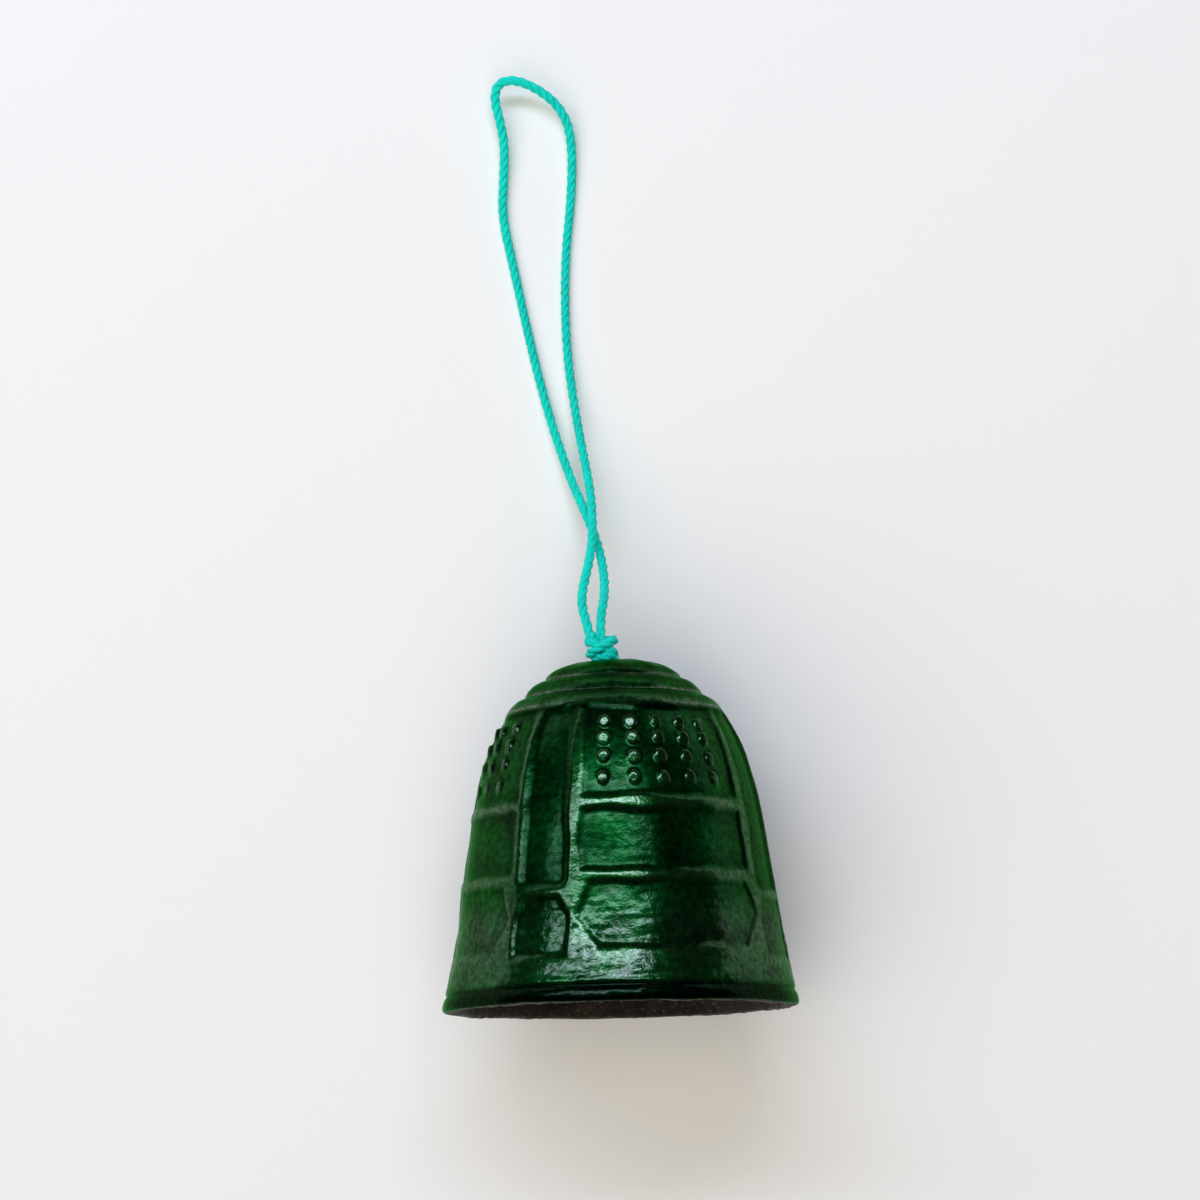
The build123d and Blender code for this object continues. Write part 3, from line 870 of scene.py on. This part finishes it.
def bumped(nodes, links, height, strength, distance, normal=None):
    """A normal that follows a height, on top of another normal where one is given."""
    made = nodes.new("ShaderNodeBump")
    if isinstance(strength, bpy.types.NodeSocket):
        links.new(strength, made.inputs["Strength"])
    else:
        made.inputs["Strength"].default_value = strength
    made.inputs["Distance"].default_value = distance
    links.new(height, made.inputs["Height"])
    if normal is not None:
        links.new(normal, made.inputs["Normal"])
    return made.outputs["Normal"]


# Colours, and the weight of the coat where the skin's shine is 1
ENAMEL_DARK = (0.0006, 0.021, 0.0042)
ENAMEL_LIGHT = (0.0020, 0.080, 0.0130)
# Lighter green on ridges: partly enamel running thinner, partly a painted highlight
THIN_ENAMEL_AND_HIGHLIGHT = (0.005, 0.125, 0.009)
# Painted shade: the dark colour put where shade falls
PAINTED_SHADE_COLOUR = (0.0005, 0.005, 0.0022)
SKIN_SHARE = 0.088
CORD_DARK = (0.0004, 0.62, 0.5)
CORD_LIGHT = (0.001, 0.82, 0.7)


def make_enamel():
    """Green glass over metal, under a faint clear skin."""
    material, nodes, links = new_material("green_enamel")
    shader = nodes["Principled BSDF"]
    place = nodes.new("ShaderNodeTexCoord").outputs["Object"]
    thin_and_highlight = attribute(nodes, "thin_and_highlight")
    painted_shade = attribute(nodes, "painted_shade")
    skin = attribute(nodes, "skin")

    cloud = noise(nodes, links, place, 170.0, 4.0)
    mottle = noise(nodes, links, place, 900.0, 2.0, 0.5)
    speck = noise(nodes, links, place, 2600.0, 2.0, 0.5)

    body = ramp(nodes, links, cloud, (0.3, ENAMEL_DARK), (0.7, ENAMEL_LIGHT))
    fine = ramp(nodes, links, mottle, (0.35, 0.72), (0.65, 1.25))
    colour = mixed(nodes, links, 1.0, body, fine, "MULTIPLY")
    # Lighter on ridges: partly enamel running thinner, partly a painted highlight
    shown = calculated(nodes, links, "MULTIPLY", thin_and_highlight, 0.5)
    colour = mixed(nodes, links, shown, colour, THIN_ENAMEL_AND_HIGHLIGHT)
    # Painted shade: the dark colour where the mask marks shade
    shown = calculated(nodes, links, "MULTIPLY", painted_shade, 0.95)
    colour = mixed(nodes, links, shown, colour, PAINTED_SHADE_COLOUR)
    links.new(colour, shader.inputs["Base Color"])

    # Light goes into the green glass and comes back from the metal under it, below a clear skin
    rough = calculated(nodes, links, "MULTIPLY_ADD", mottle, 0.16, 0.2)
    links.new(rough, shader.inputs["Roughness"])
    shader.inputs["Metallic"].default_value = 0.93
    shader.inputs["Specular Tint"].default_value = (0.08, 0.55, 0.16, 1.0)
    shader.inputs["Specular IOR Level"].default_value = 0.1
    shader.inputs["Coat Roughness"].default_value = 0.07
    shader.inputs["Coat IOR"].default_value = 3.0
    grains = ramp(nodes, links, speck, (0.36, 0.6), (0.64, 1.35))
    blots = ramp(nodes, links, mottle, (0.35, 0.5), (0.65, 1.3))
    coat = calculated(nodes, links, "MULTIPLY", skin, grains)
    coat = calculated(nodes, links, "MULTIPLY", coat, blots)
    coat = calculated(nodes, links, "MULTIPLY", coat, SKIN_SHARE)
    links.new(coat, shader.inputs["Coat Weight"])

    # The bumps are calmer where shade is painted
    calm = calculated(nodes, links, "MULTIPLY_ADD", painted_shade, -0.85, 1.0)
    strength = calculated(nodes, links, "MULTIPLY", calm, 0.14)
    normal = bumped(nodes, links, mottle, strength, 0.0003)
    strength = calculated(nodes, links, "MULTIPLY", calm, 0.22)
    normal = bumped(nodes, links, speck, strength, 0.00012, normal)
    links.new(normal, shader.inputs["Normal"])
    links.new(normal, shader.inputs["Coat Normal"])
    return material


def make_iron(name, dark, light, tan, tan_start):
    """Rough bare iron with specks of tan."""
    material, nodes, links = new_material(name)
    shader = nodes["Principled BSDF"]
    place = nodes.new("ShaderNodeTexCoord").outputs["Object"]
    cloud = noise(nodes, links, place, 260.0, 5.0, 0.6)
    speck = noise(nodes, links, place, 1500.0, 4.0, 0.7)
    body = ramp(nodes, links, cloud, (0.35, dark), (0.7, light))
    chosen = ramp(nodes, links, speck, (tan_start, 0.0), (tan_start + 0.08, 1.0))
    colour = mixed(nodes, links, chosen, body, tan)
    links.new(colour, shader.inputs["Base Color"])
    rough = calculated(nodes, links, "MULTIPLY_ADD", cloud, 0.3, 0.5)
    links.new(rough, shader.inputs["Roughness"])
    normal = bumped(nodes, links, cloud, 0.5, 0.0006)
    normal = bumped(nodes, links, speck, 0.6, 0.0003, normal)
    links.new(normal, shader.inputs["Normal"])
    return material


def make_cord():
    """Teal cord, with fibres along its strands."""
    material, nodes, links = new_material("teal_cord")
    shader = nodes["Principled BSDF"]
    unrolled_place = nodes.new("ShaderNodeUVMap")
    unrolled_place.uv_map = "unrolled"
    place = nodes.new("ShaderNodeTexCoord").outputs["Object"]
    yarns = stretched(nodes, links, unrolled_place.outputs[0], (9.0, 0.9, 1.0))
    fibres = noise(nodes, links, yarns, 2.2, 3.0, 0.6)
    cloud = noise(nodes, links, place, 420.0, 3.0)
    body = ramp(nodes, links, fibres, (0.3, CORD_DARK), (0.7, CORD_LIGHT))
    shade = ramp(nodes, links, cloud, (0.3, 0.9), (0.7, 1.06))
    colour = mixed(nodes, links, 1.0, body, shade, "MULTIPLY")
    links.new(colour, shader.inputs["Base Color"])
    rough = calculated(nodes, links, "MULTIPLY_ADD", fibres, 0.2, 0.6)
    links.new(rough, shader.inputs["Roughness"])
    shader.inputs["Specular IOR Level"].default_value = 0.2
    shader.inputs["Sheen Weight"].default_value = 0.05
    normal = bumped(nodes, links, fibres, 0.5, 0.0002)
    links.new(normal, shader.inputs["Normal"])
    return material


inside_iron = make_iron(
    "rough_iron_inside",
    dark=(0.007, 0.005, 0.004),
    light=(0.03, 0.02, 0.015),
    tan=(0.2, 0.15, 0.1),
    tan_start=0.6,
)
clapper_iron = make_iron(
    "rough_iron_clapper",
    dark=(0.02, 0.015, 0.012),
    light=(0.06, 0.045, 0.035),
    tan=(0.16, 0.09, 0.05),
    tan_start=0.66,
)
cord_material = make_cord()
bell_mesh.materials.append(make_enamel())
bell_mesh.materials.append(inside_iron)
clapper_mesh.materials.append(clapper_iron)
for piece in (loop, top_knot, strands, stop_knot, clapper_cord, clapper_knot):
    piece.data.materials.append(cord_material)

# A plain pale floor, and half of its side in metres
FLOOR = 1.6
FLOOR_COLOUR = (0.9, 0.9, 0.9, 1.0)
floor_corners = [(-FLOOR, -FLOOR, 0.0), (FLOOR, -FLOOR, 0.0), (FLOOR, FLOOR, 0.0), (-FLOOR, FLOOR, 0.0)]
floor_mesh = bpy.data.meshes.new("floor")
floor_mesh.from_pydata(floor_corners, [], [(0, 1, 2, 3)])
floor = bpy.data.objects.new("floor", floor_mesh)
scene.collection.objects.link(floor)
floor_material, floor_nodes, _ = new_material("pale_floor")
floor_shader = floor_nodes["Principled BSDF"]
floor_shader.inputs["Base Color"].default_value = FLOOR_COLOUR
floor_shader.inputs["Roughness"].default_value = 0.9
floor_shader.inputs["Specular IOR Level"].default_value = 0.1
floor_mesh.materials.append(floor_material)


# Light: two panes of a window beyond the crown, cool, and a soft warm fill on the left
def area_light(name, place, size, power, colour):
    """A level lamp that shines down: place and size in metres, power in watts."""
    light = bpy.data.lights.new(name, "AREA")
    light.shape = "RECTANGLE"
    light.size, light.size_y = size
    light.energy = power
    light.color = colour
    lamp = bpy.data.objects.new(name, light)
    lamp.location = place
    scene.collection.objects.link(lamp)
    return lamp


WINDOW_COLOUR = (0.84, 0.95, 1.15)
FILL_COLOUR = (1.0, 0.93, 0.82)
area_light("window", (-0.146, 0.925, 1.234), (1.15, 0.32), 11.5, WINDOW_COLOUR)
area_light("window_side", (-1.16, 0.925, 1.234), (0.95, 0.32), 5.6, WINDOW_COLOUR)
fill = area_light("fill", (-1.3, -1.0, 2.0), (4.2, 3.6), 71.0, FILL_COLOUR)
fill.visible_glossy = False

# The room: bright at the level of the table, dim above
HORIZON_STRENGTH = 0.9
ROOM_STRENGTH = 0.05
HORIZON_TOP = 0.15
world = bpy.data.worlds.new("room")
scene.world = world
world.use_nodes = True
world_nodes, world_links = world.node_tree.nodes, world.node_tree.links
background = world_nodes["Background"]
direction = world_nodes.new("ShaderNodeSeparateXYZ")
world_links.new(world_nodes.new("ShaderNodeTexCoord").outputs["Generated"], direction.inputs[0])
walls = world_nodes.new("ShaderNodeMapRange")
walls.inputs["From Max"].default_value = HORIZON_TOP
walls.inputs["To Min"].default_value = HORIZON_STRENGTH
walls.inputs["To Max"].default_value = ROOM_STRENGTH
world_links.new(direction.outputs["Z"], walls.inputs["Value"])
world_links.new(walls.outputs["Result"], background.inputs["Strength"])
background.inputs["Color"].default_value = (1.0, 1.0, 1.0, 1.0)

scene.view_settings.view_transform = "Standard"
